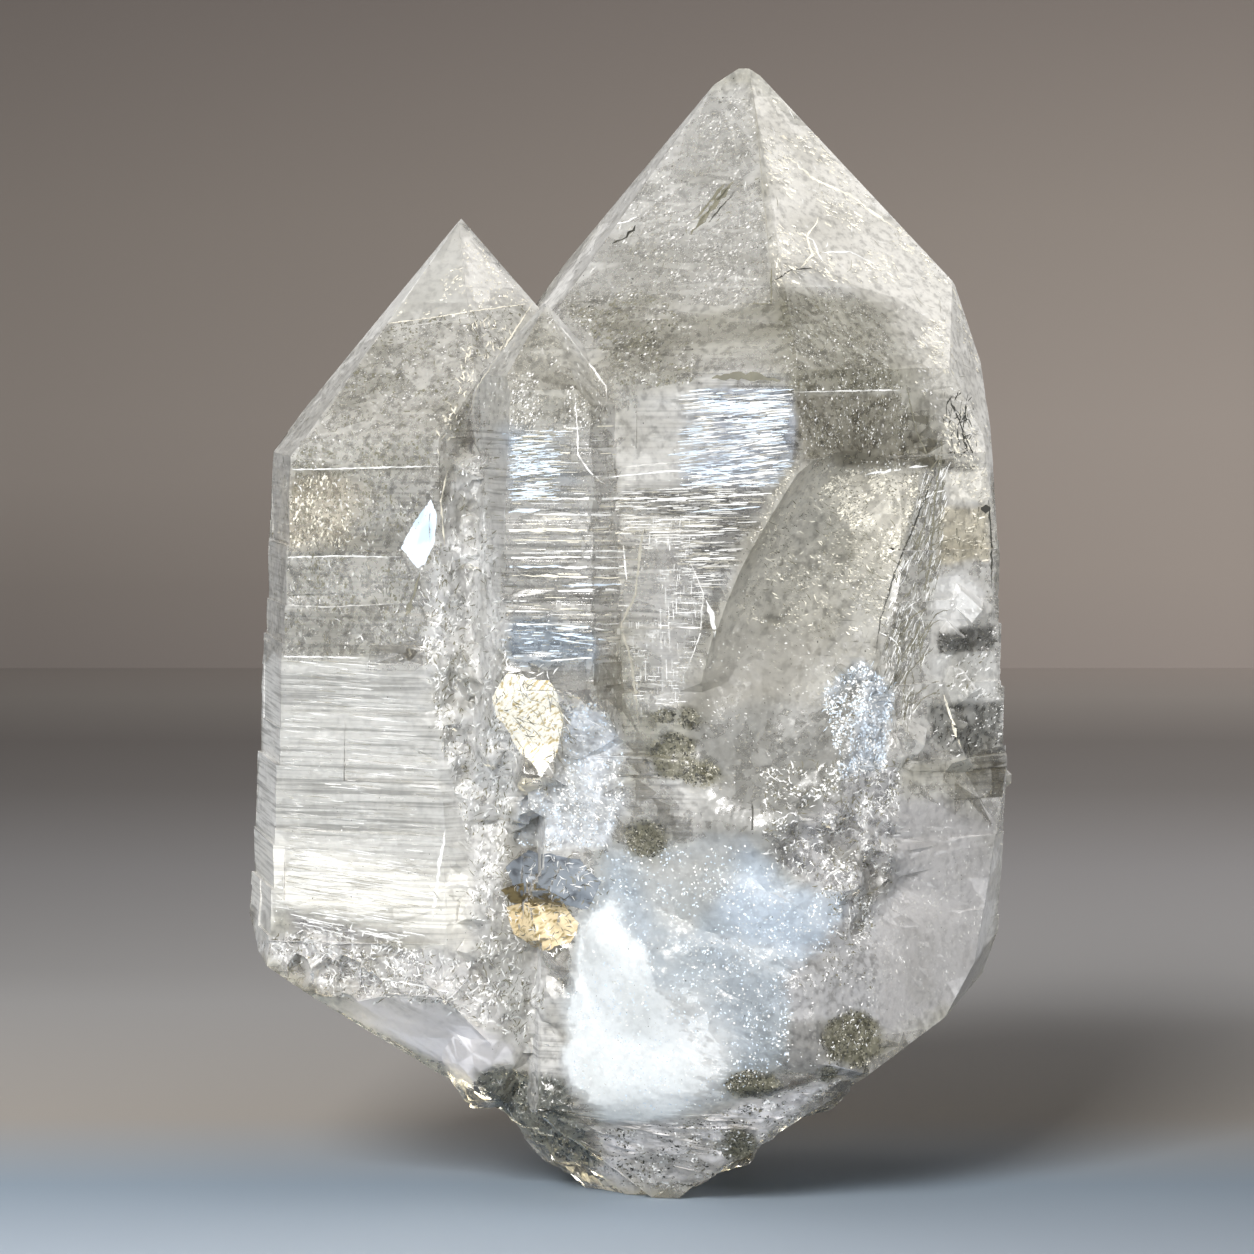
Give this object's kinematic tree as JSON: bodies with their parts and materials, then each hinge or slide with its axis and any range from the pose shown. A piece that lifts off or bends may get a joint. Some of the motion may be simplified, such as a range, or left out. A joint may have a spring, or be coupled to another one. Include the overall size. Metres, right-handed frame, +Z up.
{
  "type": "twin quartz crystal",
  "caption": "Clear quartz group: a tall pointed crystal grown together with a shorter one and a small one in front, standing on a broken base cut flat.",
  "frame": {"origin": "centre of the bounding box in X and Y, on the flat rest under the base", "axes": "+Z up along the long axis of the crystals; +X to the right and -Y towards the viewer, as in the picture"},
  "size_m": [0.0654, 0.044, 0.0949],
  "materials": {
    "clear_quartz": "clear quartz, glossy faces with fine growth lines, frosted where broken"
  },
  "bodies": {
    "root": {"twin_quartz_crystal": "clear_quartz"}
  },
  "joints": []
}
